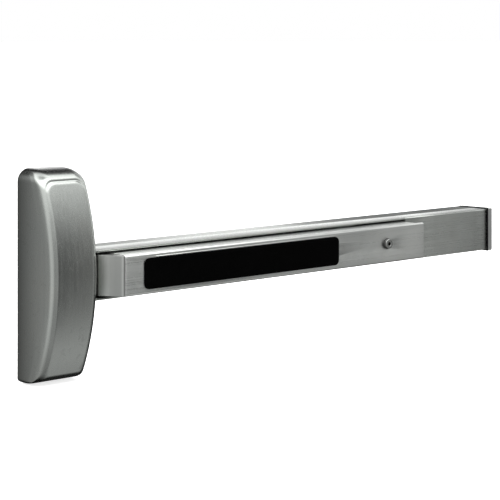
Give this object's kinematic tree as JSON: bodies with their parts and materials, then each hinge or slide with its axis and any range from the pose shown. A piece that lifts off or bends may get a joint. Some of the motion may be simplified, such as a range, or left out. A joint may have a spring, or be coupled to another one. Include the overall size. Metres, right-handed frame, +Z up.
{
  "type": "panic exit bar",
  "caption": "Touch-bar exit device with a bulged chassis cover, a sprung push bar with a black pad, hex-key dogging, a linkage inside and a long mounting rail.",
  "frame": {"origin": "on the door face, where the rail's centre line crosses the chassis centre line, at the back of the chassis base", "axes": "+X along the rail away from the chassis, +Y into the door, +Z up; the push bar faces -Y"},
  "size_m": [0.642, 0.0701, 0.2059],
  "materials": {
    "satin_stainless": "satin brushed along the length",
    "end_cap_metal": "satin, dark at the lip",
    "black_pad": "fine leather-like grain, semi-matte",
    "zinc_plated": "bright zinc plate, slightly dulled",
    "cast_lever": "die-cast, fine pebble",
    "spring_steel": "oiled drawn wire",
    "bumper_rubber": "matte black rubber"
  },
  "bodies": {
    "root": {"bar_stop_left": "bumper_rubber", "bar_stop_right": "bumper_rubber", "chassis_base": "zinc_plated", "chassis_cover": "satin_stainless", "cover_screw_lower": "satin_stainless", "cover_screw_upper": "satin_stainless", "crank_bracket_left": "zinc_plated", "crank_bracket_left_rivet_lower": "zinc_plated", "crank_bracket_left_rivet_upper": "zinc_plated", "crank_bracket_right": "zinc_plated", "crank_bracket_right_rivet_lower": "zinc_plated", "crank_bracket_right_rivet_upper": "zinc_plated", "crank_pivot_pin_left": "zinc_plated", "crank_pivot_pin_right": "zinc_plated", "dogging_keeper": "zinc_plated", "dogging_keeper_rivet": "zinc_plated", "end_bracket": "zinc_plated", "end_bracket_rivet": "zinc_plated", "end_cap": "end_cap_metal", "end_cap_gasket": "bumper_rubber", "end_cap_screw_lower": "zinc_plated", "end_cap_screw_upper": "zinc_plated", "lever_clip": "spring_steel", "lever_pivot_post": "zinc_plated", "lift_guide_lower": "zinc_plated", "lift_guide_upper": "zinc_plated", "lift_spring": "spring_steel", "mounting_rail": "satin_stainless", "rail_filler": "satin_stainless", "rail_rivet_lower": "zinc_plated", "rail_rivet_upper": "zinc_plated", "return_spring_left": "spring_steel", "return_spring_right": "spring_steel", "spring_guide_left": "zinc_plated", "spring_guide_right": "zinc_plated"},
    "push_bar": {"push_bar": "satin_stainless", "push_bar_end": "satin_stainless", "push_pad": "black_pad", "bar_lug_left": "zinc_plated", "bar_lug_right": "zinc_plated", "dogging_rosette": "satin_stainless"},
    "dogging_key": {"dogging_barrel": "zinc_plated", "dogging_clip": "spring_steel", "dogging_hook": "zinc_plated"},
    "crank_left": {"bell_crank_left": "cast_lever", "bar_pin_left": "zinc_plated", "link_pin_left": "zinc_plated"},
    "crank_right": {"bell_crank_right": "cast_lever", "bar_pin_right": "zinc_plated", "link_pin_right": "zinc_plated"},
    "link": {"link_rod": "zinc_plated", "link_connector": "zinc_plated", "link_connector_rivet": "zinc_plated"},
    "lever": {"transfer_lever": "cast_lever", "lever_link_pin": "zinc_plated", "lever_lift_pin": "zinc_plated"},
    "lift": {"lift_slide": "zinc_plated"}
  },
  "joints": [
    {"name": "bar_press", "type": "slide", "parent": "root", "child": "push_bar", "axis": [0, 1, 0], "range_m": [0, 0.018], "stiffness_N_per_m": 250, "springref_m": -0.02, "deforming": ["return_spring_left", "return_spring_right"]},
    {"name": "dogging_turn", "type": "hinge", "parent": "push_bar", "child": "dogging_key", "pos_m": [0.4124, -0.06, 0.001], "axis": [0, 1, 0], "range_deg": [0, 90]},
    {"name": "crank_left_turn", "type": "hinge", "parent": "root", "child": "crank_left", "pos_m": [0.105, -0.026, 0], "axis": [0, 0, 1], "range_deg": [0, 40.6]},
    {"name": "crank_right_turn", "type": "hinge", "parent": "root", "child": "crank_right", "pos_m": [0.36, -0.026, 0], "axis": [0, 0, 1], "range_deg": [0, 40.6]},
    {"name": "link_draw", "type": "slide", "parent": "root", "child": "link", "axis": [-1, 0, 0], "range_m": [0, 0.0118]},
    {"name": "lever_turn", "type": "hinge", "parent": "root", "child": "lever", "pos_m": [0.008, -0.012, 0.017], "axis": [0, 1, 0], "range_deg": [0, 40.6]},
    {"name": "slide_lift", "type": "slide", "parent": "root", "child": "lift", "axis": [0, 0, 1], "range_m": [0, 0.0125], "deforming": ["lift_spring"]}
  ],
  "couplings": [
    {"joint": "crank_left_turn", "follows": "bar_press", "rad_per_m": 39.274},
    {"joint": "crank_right_turn", "follows": "bar_press", "rad_per_m": 39.274},
    {"joint": "link_draw", "follows": "bar_press", "ratio": 0.65385},
    {"joint": "lever_turn", "follows": "bar_press", "rad_per_m": 39.274},
    {"joint": "slide_lift", "follows": "bar_press", "ratio": 0.69231}
  ]
}
